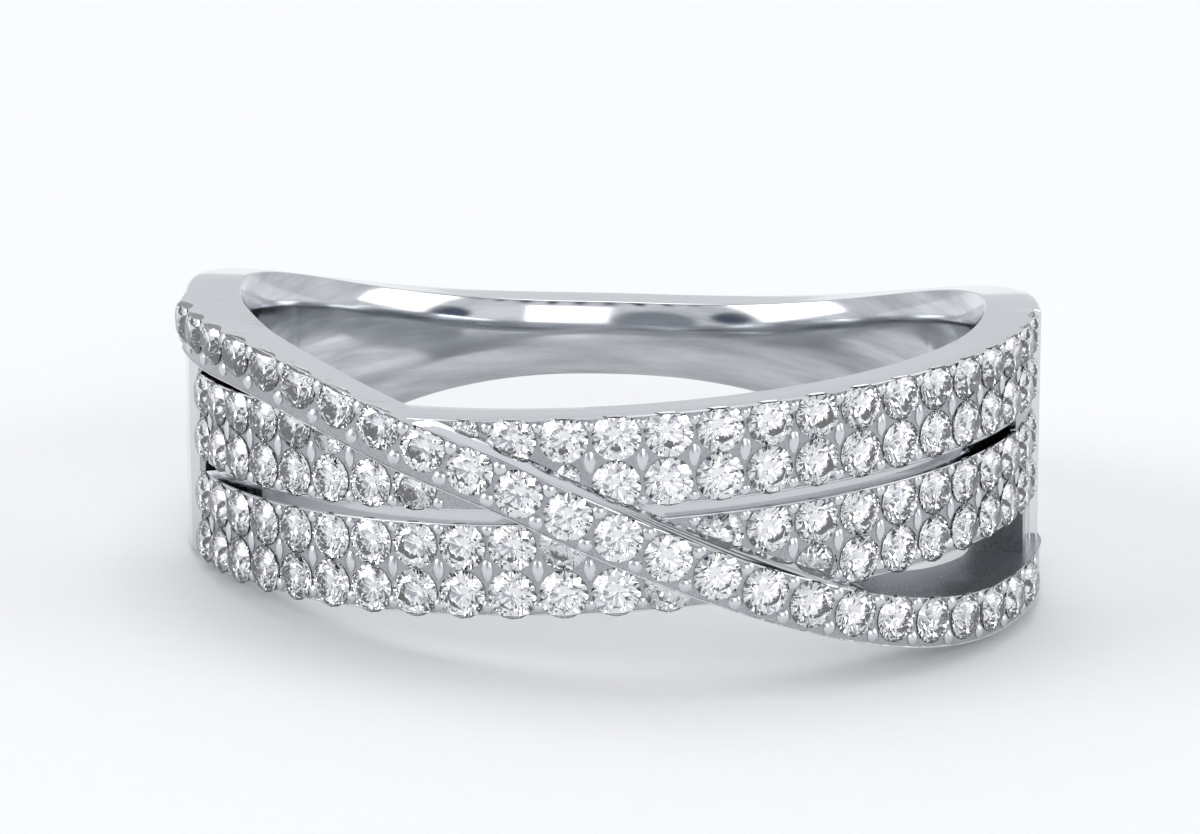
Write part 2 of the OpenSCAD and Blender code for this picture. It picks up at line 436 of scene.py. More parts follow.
# %% Seats of the bands
around = 20
pavilion_share = 0.43
pavilion_h = pavilion_share * 2 * cut_r
seat_gap, seat_tip, seat_lip, seat_step = 0.012, 0.012, 0.02, 0.01
seat = [(-pavilion_h - seat_gap, seat_tip), (-seat_step, cut_r + seat_gap), (0.0, cut_r - seat_lip)]


def turned(name, places, profile, tall=1):
    """One mesh of shapes turned from a profile of (height, radius) at (angle, z, radius) places."""
    points, faces = [], []
    rows = len(profile)
    for a, z, r, *fit in places:
        share, shift_x, shift_y = fit or (1, 0, 0)
        first = len(points)
        for h, radius in profile:
            for i in range(around):
                t = 360 * i / around
                x, y = share * radius * cos(t) + shift_x, share * tall * radius * sin(t) + shift_y
                out = r + share * h
                points.append((out * sin(a) + x * cos(a), -out * cos(a) + x * sin(a), z + y))
        for k in range(rows - 1):
            for i in range(around):
                j = (i + 1) % around
                low, high = first + k * around, first + (k + 1) * around
                faces.append((low + i, low + j, high + j, high + i))
        faces.append(tuple(first + i for i in reversed(range(around))))
        faces.append(tuple(first + (rows - 1) * around + i for i in range(around)))
    return solid(name, points, faces)


for band, walls_by in ((1, walls_by_upper), (-1, walls_by_lower)):
    places = [(a, z, bed_r + girdle_lift, *fitted(a, z, walls_by)) for a, z in band_places(band)]
    combine(ring, turned("seats", places, seat), "DIFFERENCE")

# %% [markdown]
# A thin rail is left standing along each edge of a band, a little over the stones' girdles. It
# holds them from the side and gives each band its clean bright outline.

# %% Rails along the bands
rail_w, rail_proud, rail_round, rail_root = 0.045, 0.002, 0.012, 0.3
high_rail, low_rail, rail_start, rail_run = 0.28, 0.225, 0.02, 3
high_from, high_until, rim_end = (-46, 16), (44, 16), 74


def rail(name, from_a, to_a, rise_at, side, edge_at):
    """A rail whose outer face follows edge_at(angle, radius) on that side, rise_at(angle) tall."""
    loops = []
    for a in range(from_a, to_a + 1):
        top = bed_r + mix(rail_start, rise_at(a), smooth(min(a - from_a, to_a - a) / rail_run))
        section = [(bed_r - rail_root, 0)] + corner(top, rail_round, 3)
        section += [(top, rail_w - rail_round), (top - rail_round, rail_w), (bed_r - rail_root, rail_w)]
        loop = [on_ring(a, r, edge_at(a, r) + side * (rail_proud - inset)) for r, inset in section]
        loops.append(loop if side > 0 else loop[::-1])
    combine(ring, sweep(name, loops, False), "UNION")


def all_high(a):
    return high_rail


def all_low(a):
    return low_rail


def high_in_front(a):
    return mix(low_rail, high_rail, past(a, high_from) * (1 - past(a, high_until)))


rail("upper_rim", -rim_end, bed_to + 1, all_high, 1, lambda a, r: ring_edge(a, r, 1))
rail("lower_rim", bed_from - 1, rim_end, all_low, -1, lambda a, r: ring_edge(a, r, -1))
rail("slit_floor", slit_from - 1, slit_to + 1, high_in_front, 1, lambda a, r: slit_face(a, r, -1))
rail("slit_roof", slit_from - 1, slit_to + 1, all_low, -1, lambda a, r: slit_face(a, r, 1))


# %% [markdown]
# The strand is a rod that crosses both bands and stands a little prouder. Where it lies on them
# its upper side is a slanted wall, and where it stands free its sides are straight. At both ends
# it is filed down to the shank. It is drilled for its stones as the bands are.

# %% The strand
strand_in = blank_in - 0.25
strand_bed, lip_w = strand_r + 0.215, 0.035
end_r, strand_sections = outer_r - 0.01, range(strand_from - 4, strand_to + 4)
left_end, left_run, right_end, right_run = -80, 4, 81.5, 6.5


def strand_top(a, r):
    """Radius r of the strand's bed or lips, let down onto the shank at its ends."""
    return mix(r, end_r, smooth(max((left_end - a) / left_run, (a - right_end) / right_run)))


def strand_side(a, r, side, out=0.0):
    """Height of the strand's side face, whose wall slants in from its foot to its lip."""
    slant = min(max((lip_top - r) / (lip_top - wall_foot_r), 0), 1)
    return metal_edge(reading_angle(a, r), side, strand_half + slant * foot(a, side) + out)


def strand_loop(a):
    high = strand_top(a, strand_bed)
    rows = (strand_in, wall_foot_r, high)
    upper = [on_ring(a, r, strand_side(a, r, 1)) for r in rows]
    lower = [on_ring(a, r, strand_side(a, r, -1)) for r in rows]
    return upper + lower[::-1]


combine(ring, sweep("strand", [strand_loop(a) for a in strand_sections], False), "UNION")
seat_places = [(a, z, strand_r + girdle_lift) for a, z in strand_places]
combine(ring, turned("strand_seats", seat_places, seat), "DIFFERENCE")

# %% [markdown]
# A thin lip stands along both edges of the strand, as the rails do along the bands. It follows
# the strand's own side, so that the two read as one wall with a bright line on top.

# %% Lips of the strand
lip_root, lip_shoulder, lip_bevel = 0.2, 0.012, 0.01
for side in (1, -1):
    loops = []
    for a in strand_sections[1:-1]:
        high = strand_top(a, lip_top)
        section = [(high - lip_root, rail_proud), (high - lip_shoulder, rail_proud), (high, -lip_bevel),
                   (high, lip_bevel - lip_w), (high - lip_bevel, -lip_w), (high - lip_root, -lip_w)]
        loop = [on_ring(a, r, strand_side(a, r, side, out)) for r, out in section]
        loops.append(loop if side > 0 else loop[::-1])
    combine(ring, sweep("lip", loops, False), "UNION")

# %% [markdown]
# The setter raises a bead wherever there is metal between stones. So a bead's place is worked out
# from the stones', and it is left out where the strand's wall takes its room.

# %% Places of the beads
bead_out, bead_inside, edge_bead_in = 0.4, 0.17, 0.15
tall_bead_room, edge_bead_room = 0.1, 0.06


def bead_places(band):
    """Places of the tall beads and of the edge beads of a band."""
    tall, small = [], []
    for i in range(columns[0], columns[-1] + 2):
        a = column_angle(i - 0.5)
        if bed_from < a < bed_to:
            z = slit_mid(a) + band * row_mid
            if strand_wall(a, z)[1] > tall_bead_room:
                tall.append((a, z, bed_r))
            for side in (-1, 1):
                z = slit_mid(a) + band * band_mid + side * (band_w / 2 - edge_bead_in)
                if strand_wall(a, z)[1] > edge_bead_room:
                    small.append((a, z, bed_r))
    return tall, small


def strand_bead_places():
    """Beads stand on both sides of the strand's middle line, inside its lips."""
    places = []
    for k in [min(strand_angles) - 1] + sorted(strand_angles):
        mid = along(start + (k + 0.5) * strand_pitch, 1, 0)
        slope = strand_slope(mid)
        for side in (-1, 1):
            reach = side * (metal_edge(mid, side) - strand_mid(mid)) * cos(slope)
            out = side * min(bead_out + 0.5 * max(reach - strand_half, 0), reach - bead_inside)
            a = mid + math.degrees(out * sin(slope) / (strand_r + girdle_lift))
            places.append((a, strand_mid(mid) + out * cos(slope), strand_r))
    return places


tall_beads, small_beads = [], []
for band in (1, -1):
    tall, small = bead_places(band)
    tall_beads += tall
    small_beads += small
strand_beads = strand_bead_places()
print("beads:", len(tall_beads), len(small_beads), len(strand_beads))

# %% [markdown]
# The finger hole is bored last. Its edges are eased in a long, shallow curve, as rings are
# finished for comfort, and this curve is what catches the bright lights behind the viewer.

# %% The finger hole
ease_r, ease_turn, edge_r, ease_steps = 2.0, 25, 0.05, 6
cutter_in, cutter_past = 4, 3


def eased_edge():
    """Radius and inset of a long curve of ease_r, and then a small one onto the side face."""
    long_turns = [ease_turn * i / ease_steps for i in range(ease_steps + 1)]
    short_turns = [mix(ease_turn, 90, i / ease_steps) for i in range(1, ease_steps + 1)]
    out = ease_r * (1 - cos(ease_turn))
    tall = edge_r * (1 - sin(ease_turn))
    rows = [(bore_r + ease_r * (1 - cos(t)), tall + ease_r * (sin(ease_turn) - sin(t))) for t in long_turns]
    rows += [(bore_r + out + edge_r * (cos(ease_turn) - cos(t)), edge_r * (1 - sin(t))) for t in short_turns]
    return rows


def bore_loop(a):
    high, low = top_edge(a, bore_r, 1), top_edge(a, bore_r, -1)
    rows = eased_edge()
    rows = [(rows[-1][0], -cutter_past)] + rows[::-1]
    upper = [(cutter_in, high + cutter_past)] + [(r, high - inset) for r, inset in rows]
    lower = [(cutter_in, low - cutter_past)] + [(r, low + inset) for r, inset in rows]
    return [on_ring(a, r, z) for r, z in upper + lower[::-1]]


bore_angles = [i + 0.5 for i in range(-180, 180)]
combine(ring, sweep("bore", [bore_loop(a) for a in bore_angles], True), "DIFFERENCE")

# %% [markdown]
# Each bead starts as a raised post whose top is pushed over the edges of its stones and then
# rounded with a hollow punch, which leaves a dome.

# %% Beads
band_bead_r, strand_bead_r, tall_stretch = 0.13, 0.16, 1.9
bead_root, bead_proud, rim_tilt, dome_steps, dome_tip = 0.1, 0.01, 42, 6, 0.006


def domed(radius):
    """Profile of a post that ends a little over the girdles in a low dome."""
    rim_h = girdle_lift + bead_proud
    rows = [(-bead_root, radius), (rim_h, radius)]
    for i in range(1, dome_steps + 1):
        t = rim_tilt * (1 - i / dome_steps)
        rows.append((rim_h + radius * (cos(t) - cos(rim_tilt)) / sin(rim_tilt),
                     max(radius * sin(t) / sin(rim_tilt), dome_tip)))
    return rows


combine(ring, turned("tall_beads", tall_beads, domed(band_bead_r), tall_stretch), "UNION")
combine(ring, turned("small_beads", small_beads, domed(band_bead_r)), "UNION")
combine(ring, turned("strand_beads", strand_beads, domed(strand_bead_r)), "UNION")


# %% [markdown]
# A finished piece is turned into its rest pose and into metres. Faces that meet at a shallow
# angle are shaded as one surface, and the rest keep a crisp edge.

# %% Finish the metal
metal_sharp, facet_sharp = 32, 1


def finish(piece, node, sharp):
    piece.data.transform(at_rest @ Matrix.Scale(MM, 4))
    piece.data.shade_smooth()
    piece.data.set_sharp_from_angle(angle=math.radians(sharp))
    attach(piece, "root")
    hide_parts(node)
    triangles = sum(len(f.vertices) - 2 for f in piece.data.polygons)
    print(piece.name, "stands for", node, "with", triangles, "triangles")


finish(ring, "ring_body", metal_sharp)
weighted = ring.modifiers.new("even shading", "WEIGHTED_NORMAL")
weighted.keep_sharp = True

# %% [markdown]
# The metal has four finishes, and each begins at an edge that the tools left. The faces of each
# are found by where they lie: near a bead, between the stones, in the bore, or on a wall of the
# opening beside the strand. The bed, the opening and the bore are also painted darker, as painted
# shade. Each material's cell then gives its faces its slot number.

# %% The nearest bead of each face
from mathutils.kdtree import KDTree

all_beads = tall_beads + small_beads + strand_beads
nearest = KDTree(len(all_beads))
for i, (a, z, r) in enumerate(all_beads):
    nearest.insert(at_rest @ (Vector(on_ring(a, r + girdle_lift, z)) * MM), i)
nearest.balance()
print("beads to look up:", len(all_beads))

# %% Faces of the domes, the bed, the opening and the bore
tall_reach, small_reach, dome_below = 0.26, 0.18, 0.012
bed_facing, bed_off, bed_reach = 0.97, 0.006, 0.8
opening_from, opening_to, opening_in, opening_margin, wall_facing = 34, 88, 0.1, 0.06, 0.8
bore_facing, bore_deep = -0.85, 0.25
upright = at_rest.inverted()
dome_faces, painted_shade_faces, bore_faces = [], [], []


def beside_opening(a, r, z):
    """Whether a point lies on a wall of the opening between the lower band and the strand."""
    if not (opening_from < a < opening_to and bore_r + opening_in < r < lip_top):
        return False
    strand_z = metal_edge(reading_angle(a, r), 1)
    return strand_z - opening_margin < z < max(strand_z, ring_edge(a, r, -1)) + opening_margin


for face in ring.data.polygons:
    _, i, distance = nearest.find(face.center)
    bead_r = all_beads[i][2]
    reach = tall_reach if i < len(tall_beads) else small_reach
    x, y, z = upright @ face.center / MM
    out, a = math.hypot(x, y), math.degrees(math.atan2(x, -y))
    nx, ny, _ = upright.to_3x3() @ face.normal
    facing_out = (nx * x + ny * y) / out
    off_bed = min(abs(out - bed_r - bed_rise), abs(out - strand_bed))
    if distance < reach * MM and out > bead_r + girdle_lift - dome_below:
        dome_faces.append(face.index)
    # the bed between the stones and the walls of the opening get the painted shade
    elif facing_out > bed_facing and off_bed < bed_off and distance < bed_reach * MM:
        painted_shade_faces.append(face.index)
    elif beside_opening(a, out, z) and abs(facing_out) < wall_facing:
        painted_shade_faces.append(face.index)
    elif facing_out < bore_facing and out < bore_r + bore_deep:
        bore_faces.append(face.index)
print("faces of beads, bed and bore:", len(dome_faces), len(painted_shade_faces), len(bore_faces))

# %% [markdown]
# A round brilliant has a flat table, eight kites and eight stars, sixteen upper and sixteen
# lower halves, a thin girdle and eight pavilion mains. Its angles return the light that comes in
# through the top: 34.5 degrees above the girdle and 40.8 degrees below it.

# %% One brilliant
table_share, crown_angle, pavilion_angle = 0.56, 34.5, 40.8
star_share, lower_share, girdle_share = 0.5, 0.77, 0.02


def brilliant():
    """Points and faces with the girdle at height 0, for a stone of radius 1."""
    rise = math.tan(math.radians(crown_angle))
    fall = math.tan(math.radians(pavilion_angle))
    half = girdle_share
    star_r = mix(table_share * cos(22.5), 1, star_share)
    star_z = half + (1 - star_r * cos(22.5)) * rise
    low_r = 1 - lower_share
    low_z = -half - (1 - low_r * cos(22.5)) * fall
    points = [(table_share * cos(45 * i), table_share * sin(45 * i), half + (1 - table_share) * rise)
              for i in range(8)]
    points += [(star_r * cos(45 * i + 22.5), star_r * sin(45 * i + 22.5), star_z) for i in range(8)]
    for z in (half, -half):
        points += [(cos(22.5 * i), sin(22.5 * i), z) for i in range(16)]
    points += [(low_r * cos(45 * i + 22.5), low_r * sin(45 * i + 22.5), low_z) for i in range(8)]
    points += [(0, 0, -half - fall)]
    star, top, bottom, low, culet = 8, 16, 32, 48, 56
    faces = [tuple(range(8))]
    for i in range(8):
        j, p = (i + 1) % 8, 2 * i
        last, after, next_main = (i - 1) % 8, p + 1, (p + 2) % 16
        faces.append((i, star + i, j))
        faces.append((i, star + last, top + p, star + i))
        faces.append((star + i, top + p, top + after))
        faces.append((star + i, top + after, top + next_main))
        faces.append((low + i, bottom + after, bottom + p))
        faces.append((low + i, bottom + next_main, bottom + after))
        faces.append((culet, low + i, bottom + p, low + last))
    for i in range(16):
        k = (i + 1) % 16
        faces.append((top + i, bottom + i, bottom + k, top + k))
    return points, faces


cut_points, cut_faces = brilliant()
print("facets on a brilliant:", len(cut_faces) - 16, "and a girdle")


# %% [markdown]
# The setter presses each stone into its seat with the table level to the surface. So one cut is
# scaled, turned and copied to every place, and a plane trims those that meet a wall. All stones
# of a row are one mesh of separate closed shapes, because the CAD has them as one node.

# %% Set the stones
import bmesh

cut_overlap, wall_share, merge_below = 0.01, 0.6, 1e-5


def set_stones(name, node, places, carrier_r, walls_by):
    built = bmesh.new()
    for a, z in places:
        stone = bmesh.new()
        share, shift_x, shift_y = fitted(a, z, walls_by)
        own_r = share * cut_r
        verts = [stone.verts.new((own_r * x + shift_x, own_r * y + shift_y, own_r * height))
                 for x, y, height in cut_points]
        for f in cut_faces:
            stone.faces.new([verts[i] for i in f])
        for (dx, dy), room, spread in walls_by(a, z):
            into_wall = Vector((dx, dy, 0))
            cut = bmesh.ops.bisect_plane(
                stone, geom=stone.verts[:] + stone.edges[:] + stone.faces[:], dist=merge_below,
                plane_co=(room + cut_overlap + wall_share * spread) * into_wall, plane_no=into_wall,
                clear_outer=True)
            rim = [e for e in cut["geom_cut"] if isinstance(e, bmesh.types.BMEdge)]
            if rim:
                bmesh.ops.contextual_create(stone, geom=rim)
        r = carrier_r + girdle_lift
        place = Matrix(((cos(a), 0, sin(a), r * sin(a)), (sin(a), 0, -cos(a), -r * cos(a)),
                        (0, 1, 0, z), (0, 0, 0, 1)))
        bmesh.ops.transform(stone, matrix=place, verts=stone.verts[:])
        bmesh.ops.recalc_face_normals(stone, faces=stone.faces[:])
        held = bpy.data.meshes.new("one stone")
        stone.to_mesh(held)
        stone.free()
        built.from_mesh(held)
        bpy.data.meshes.remove(held)
    mesh = bpy.data.meshes.new(name)
    built.to_mesh(mesh)
    built.free()
    piece = bpy.data.objects.new(name, mesh)
    bpy.context.scene.collection.objects.link(piece)
    finish(piece, node, facet_sharp)
    return piece


upper = set_stones("upper_band_brilliants", "upper_band_stones", band_places(1), bed_r, walls_by_upper)
lower = set_stones("lower_band_brilliants", "lower_band_stones", band_places(-1), bed_r, walls_by_lower)
crossing = set_stones("crossover_brilliants", "crossover_stones", strand_places, strand_r, walls_by_crossing)


# %% [markdown]
# Colours are given as sRGB hex values, as a picker shows them, and one function turns them to
# the linear values that the shaders need. One more adds a node with its settings and links.

# %% Colour and nodes
def linear(hex_colour):
    channels = [int(hex_colour[i:i + 2], 16) / 255 for i in (1, 3, 5)]
    return [c / 12.92 if c <= 0.04045 else ((c + 0.055) / 1.055) ** 2.4 for c in channels] + [1]


def add(tree, kind, settings={}, links={}):
    """A node of a kind, with its own settings or input values, and links from other sockets."""
    made = tree.nodes.new(kind)
    for key, value in settings.items():
        if key in made.inputs:
            made.inputs[key].default_value = value
        else:
            setattr(made, key, value)
    for key, source in links.items():
        tree.links.new(source, made.inputs[key])
    return made


def material(name):
    made = bpy.data.materials.new(name)
    made.use_nodes = True
    made.node_tree.nodes.clear()
    return made, made.node_tree


print("white paper in linear light:", [round(c, 3) for c in linear("#F8F9FB")[:3]])

# %% [markdown]
# The metal is 14 carat white gold under a thin coat of rhodium, which takes away its yellow cast
# and gives a cool, bright mirror. It is buffed with fine rouge, so hair lines of a few hundredths
# of a millimetre run over it and the mirror is slightly clouded where fingers and cloth rub.

# %% Rhodium-plated white gold
metal, tree = material("rhodium_plated_white_gold")
where = add(tree, "ShaderNodeTexCoord")
cloud_mm, hair_mm, hair_long = 1.6, 0.03, 14
clouds = add(tree, "ShaderNodeTexNoise", {"Scale": 1 / (cloud_mm * MM), "Detail": 3.0},
             {"Vector": where.outputs["Object"]})
stretch = add(tree, "ShaderNodeMapping", {"Scale": (1, 1, hair_long)}, {"Vector": where.outputs["Object"]})
hairs = add(tree, "ShaderNodeTexNoise", {"Scale": 1 / (hair_mm * hair_long * MM), "Detail": 2.0},
            {"Vector": stretch.outputs["Vector"]})
tint = add(tree, "ShaderNodeMix", {"data_type": "RGBA"}, {"Factor": clouds.outputs["Fac"]})
tint.inputs["A"].default_value = linear("#D3D5D8")
tint.inputs["B"].default_value = linear("#DCDDDF")
rough = add(tree, "ShaderNodeMapRange", {"To Min": 0.05, "To Max": 0.11}, {"Value": clouds.outputs["Fac"]})
relief = add(tree, "ShaderNodeBump", {"Strength": 0.04, "Distance": 0.002 * MM},
             {"Height": hairs.outputs["Fac"]})
shine = add(tree, "ShaderNodeBsdfPrincipled", {"Metallic": 1.0},
            {"Base Color": tint.outputs["Result"], "Roughness": rough.outputs["Result"],
             "Normal": relief.outputs["Normal"]})
add(tree, "ShaderNodeOutputMaterial", {}, {"Surface": shine.outputs["BSDF"]})
ring.data.materials.append(metal)

# %% [markdown]
# The beads aren't buffed: the steel punch that rounds them leaves a finely pitted, satin dome,
# so they glow softly between the hard flashes of the stones. The same gold is used with a
# broader sheen, and the pits, about 0.02 mm wide, are drawn as a faint mottling.

# %% Punched white gold
punched, tree = material("punched_white_gold")
where = add(tree, "ShaderNodeTexCoord")
pit_mm = 0.02
pits = add(tree, "ShaderNodeTexNoise", {"Scale": 1 / (pit_mm * MM), "Detail": 2.0},
           {"Vector": where.outputs["Object"]})
tint = add(tree, "ShaderNodeMix", {"data_type": "RGBA"}, {"Factor": pits.outputs["Fac"]})
tint.inputs["A"].default_value = linear("#CBCDD0")
tint.inputs["B"].default_value = linear("#DDDEE1")
satin = add(tree, "ShaderNodeMapRange", {"To Min": 0.18, "To Max": 0.3}, {"Value": pits.outputs["Fac"]})
dome_shine = add(tree, "ShaderNodeBsdfPrincipled", {"Metallic": 1.0},
                 {"Base Color": tint.outputs["Result"], "Roughness": satin.outputs["Result"]})
add(tree, "ShaderNodeOutputMaterial", {}, {"Surface": dome_shine.outputs["BSDF"]})
ring.data.materials.append(punched)
for i in dome_faces:
    ring.data.polygons[i].material_index = 1

# %% [markdown]
# No wheel reaches the bed between the stones, nor the walls of the opening where the strand parts
# from the lower band. They keep the grey, slightly rough skin that the graver leaves, with cuts
# about 0.05 mm apart. Their colour is also painted darker, as painted shade for the shadow between
# the stones and in the opening, and so they look darker than the buffed rims.

# %% Graver-cut bed and opening, with painted shade
bed_and_opening_shade, tree = material("graver_cut_gold_painted_shade")
where = add(tree, "ShaderNodeTexCoord")
cut_mm = 0.05
cuts = add(tree, "ShaderNodeTexNoise", {"Scale": 1 / (cut_mm * MM), "Detail": 2.0},
           {"Vector": where.outputs["Object"]})
tint = add(tree, "ShaderNodeMix", {"data_type": "RGBA"}, {"Factor": cuts.outputs["Fac"]})
# 84868A, the dark end of the mix, is painted shade between the stones and in the opening
tint.inputs["A"].default_value = linear("#84868A")
tint.inputs["B"].default_value = linear("#C3C5C8")
rough = add(tree, "ShaderNodeMapRange", {"To Min": 0.2, "To Max": 0.4}, {"Value": cuts.outputs["Fac"]})
painted_shade_shine = add(tree, "ShaderNodeBsdfPrincipled", {"Metallic": 1.0},
                 {"Base Color": tint.outputs["Result"], "Roughness": rough.outputs["Result"]})
add(tree, "ShaderNodeOutputMaterial", {}, {"Surface": painted_shade_shine.outputs["BSDF"]})
ring.data.materials.append(bed_and_opening_shade)
for i in painted_shade_faces:
    ring.data.polygons[i].material_index = 2

# %% [markdown]
# The bore is polished last, by hand on a felt finger that turns round it, and wear against the
# skin does the same. Both leave long faint streaks round the ring, a few millimetres long and
# some tenths of a millimetre wide, which cloud the reflections inside it. The bore's colour is
# also darker than the rest of the metal, as painted shade for the shade inside the hole.

# %% Worn bore, with painted shade
bore_wear_and_shade, tree = material("worn_white_gold_painted_shade")
where = add(tree, "ShaderNodeTexCoord")
streak_mm, streak_long = 0.35, 9
around_axis = add(tree, "ShaderNodeMapping", {"Scale": (1 / streak_long, 1 / streak_long, 1)},
                  {"Vector": where.outputs["Object"]})
streaks = add(tree, "ShaderNodeTexNoise", {"Scale": 1 / (streak_mm * MM), "Detail": 4.0, "Roughness": 0.6},
              {"Vector": around_axis.outputs["Vector"]})
band_of = add(tree, "ShaderNodeMapRange", {"From Min": 0.32, "From Max": 0.68},
              {"Value": streaks.outputs["Fac"]})
tint = add(tree, "ShaderNodeMix", {"data_type": "RGBA"}, {"Factor": band_of.outputs["Result"]})
# B4B7BB, the dark end of the streaks, is partly wear and partly painted shade inside the hole
tint.inputs["A"].default_value = linear("#B4B7BB")
tint.inputs["B"].default_value = linear("#DBDDE0")
rough = add(tree, "ShaderNodeMapRange", {"To Min": 0.16, "To Max": 0.07},
            {"Value": band_of.outputs["Result"]})
bore_shine = add(tree, "ShaderNodeBsdfPrincipled", {"Metallic": 1.0},
                 {"Base Color": tint.outputs["Result"], "Roughness": rough.outputs["Result"]})
add(tree, "ShaderNodeOutputMaterial", {}, {"Surface": bore_shine.outputs["BSDF"]})
ring.data.materials.append(bore_wear_and_shade)
for i in bore_faces:
    ring.data.polygons[i].material_index = 3

# %% [markdown]
# Diamond bends light more than any other gem, with an index of 2.417, and each facet is a flat,
# perfectly polished plane. The facets are real geometry, so a clear shader without any roughness
# is enough. The stones are colourless with the faintest variation between them.

# %% Colourless diamond
gem, tree = material("colourless_diamond")
where = add(tree, "ShaderNodeTexCoord")
veil_mm = 0.4
veil = add(tree, "ShaderNodeTexNoise", {"Scale": 1 / (veil_mm * MM), "Detail": 1.0},
           {"Vector": where.outputs["Object"]})
tone = add(tree, "ShaderNodeMix", {"data_type": "RGBA"}, {"Factor": veil.outputs["Fac"]})
tone.inputs["A"].default_value = linear("#FAFBFF")
tone.inputs["B"].default_value = linear("#FFFFFF")
glass = add(tree, "ShaderNodeBsdfPrincipled",
            {"Roughness": 0.0, "IOR": 2.417, "Transmission Weight": 1.0},
            {"Base Color": tone.outputs["Result"]})
add(tree, "ShaderNodeOutputMaterial", {}, {"Surface": glass.outputs["BSDF"]})
for piece in (upper, lower, crossing):
    piece.data.materials.append(gem)

# %% [markdown]
# The table is matt white card, and the ring touches it at its lowest points. It reaches so far
# past the picture that no edge shows, and its fibres are a mottling that is barely seen.

# %% Table
bpy.context.view_layer.update()
low_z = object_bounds()[0].z
table_mesh = bpy.data.meshes.new("table_card")
wide = 1.5  # metres from the middle to each edge
corners = [(-wide, -wide, low_z), (wide, -wide, low_z), (wide, wide, low_z), (-wide, wide, low_z)]
table_mesh.from_pydata(corners, [], [(0, 1, 2, 3)])
table = bpy.data.objects.new("table_card", table_mesh)
bpy.context.scene.collection.objects.link(table)
card, tree = material("matt_white_card")
where = add(tree, "ShaderNodeTexCoord")
fibre_mm = 0.5
fibre = add(tree, "ShaderNodeTexNoise", {"Scale": 1 / (fibre_mm * MM)}, {"Vector": where.outputs["Object"]})
paper = add(tree, "ShaderNodeMix", {"data_type": "RGBA"}, {"Factor": fibre.outputs["Fac"]})
paper.inputs["A"].default_value = linear("#ECEDED")
paper.inputs["B"].default_value = linear("#EFEFEF")
matt = add(tree, "ShaderNodeBsdfPrincipled", {"Roughness": 0.9, "Specular IOR Level": 0.2},
           {"Base Color": paper.outputs["Result"]})
add(tree, "ShaderNodeOutputMaterial", {}, {"Surface": matt.outputs["BSDF"]})
table_mesh.materials.append(card)
print("table at", round(low_z / MM, 2), "mm")

# %% [markdown]
# Polished metal and diamonds show nothing but their surroundings, so the light is mostly a
# matter of what is bright and what is dark round the ring. Jewellery is put in a pale tent, and
# dark cards are then hung in it, because metal in an even light has no form and a stone no
# sparkle. Three wide grey cards show on the inner edge, and nine small black ones in the facets.
# The tent is whitest overhead, and its front, low down, is a touch whiter than its back.

# %% Tent and room
world = bpy.data.worlds.new("tent_and_room")
bpy.context.scene.world = world
world.use_nodes = True
tree = world.node_tree
tree.nodes.clear()
look = add(tree, "ShaderNodeTexCoord")
axes = add(tree, "ShaderNodeSeparateXYZ", {}, {"Vector": look.outputs["Generated"]})
height = add(tree, "ShaderNodeMapRange",
             {"From Min": 0.86, "From Max": 0.98, "interpolation_type": "SMOOTHSTEP"},
             {"Value": axes.outputs["Z"]})
tent = add(tree, "ShaderNodeMix", {"data_type": "RGBA"}, {"Factor": height.outputs["Result"]})
tent.inputs["A"].default_value = linear("#E1E3E7")
tent.inputs["B"].default_value = linear("#F4F6FA")


def dark_card(towards, reach, soft, colour, under):
    """under with a round card laid over it, at azimuth and height towards, of reach degrees."""
    flat = cos(towards[1])
    facing = (flat * sin(towards[0]), -flat * cos(towards[0]), sin(towards[1]))
    along_it = add(tree, "ShaderNodeVectorMath", {"operation": "DOT_PRODUCT"})
    tree.links.new(look.outputs["Generated"], along_it.inputs[0])
    along_it.inputs[1].default_value = facing
    inside = add(tree, "ShaderNodeMapRange",
                 {"From Min": cos(reach + soft), "From Max": cos(reach),
                  "interpolation_type": "SMOOTHSTEP"},
                 {"Value": along_it.outputs["Value"]})
    over = add(tree, "ShaderNodeMix", {"data_type": "RGBA"},
               {"Factor": inside.outputs["Result"], "A": under})
    over.inputs["B"].default_value = linear(colour)
    return over.outputs["Result"]


towards_viewer = add(tree, "ShaderNodeMapRange",
                {"From Min": 0.35, "From Max": -0.25, "interpolation_type": "SMOOTHSTEP"},
                {"Value": axes.outputs["Y"]})
low_down = add(tree, "ShaderNodeMapRange",
              {"From Min": 0.85, "From Max": 0.6, "interpolation_type": "SMOOTHSTEP"},
              {"Value": axes.outputs["Z"]})
low_front = add(tree, "ShaderNodeMath", {"operation": "MULTIPLY"})
tree.links.new(towards_viewer.outputs["Result"], low_front.inputs[0])
tree.links.new(low_down.outputs["Result"], low_front.inputs[1])
around_ring = add(tree, "ShaderNodeMix", {"data_type": "RGBA"},
                  {"Factor": low_front.outputs["Value"], "A": tent.outputs["Result"]})
around_ring.inputs["B"].default_value = linear("#EEF0F4")
seen = around_ring.outputs["Result"]
print("tent hung, whiter at the top and in front")

# %% Cards in the tent
black_card = "#202226"
wide_soft, small_card_reach, small_soft = 4, 4, 2
wide_cards = ((-14, 14, 13, "#989CA4"), (60, 15, 6, "#525A6B"), (-44, 17, 6, "#525A6B"))
for azimuth, tall, reach, grey in wide_cards:
    seen = dark_card((azimuth, tall), reach, wide_soft, grey, seen)
small_cards = ((-12, 48), (14, 50), (-40, 50), (38, 48), (-66, 50), (64, 50), (2, 62), (-90, 40),
               (90, 42))
for azimuth, tall in small_cards:
    seen = dark_card((azimuth, tall), small_card_reach, small_soft, black_card, seen)
print("cards:", len(wide_cards), "wide,", len(small_cards), "small")

# %% [markdown]
# The tent hangs on ribs that meet overhead. Seen from the ring they are narrow dark bars at
# even steps, and each facet that mirrors one gets a sharp dark stroke. They are drawn in the sky
# by its direction: the angle round the axis folded into steps, within a span of height in front.

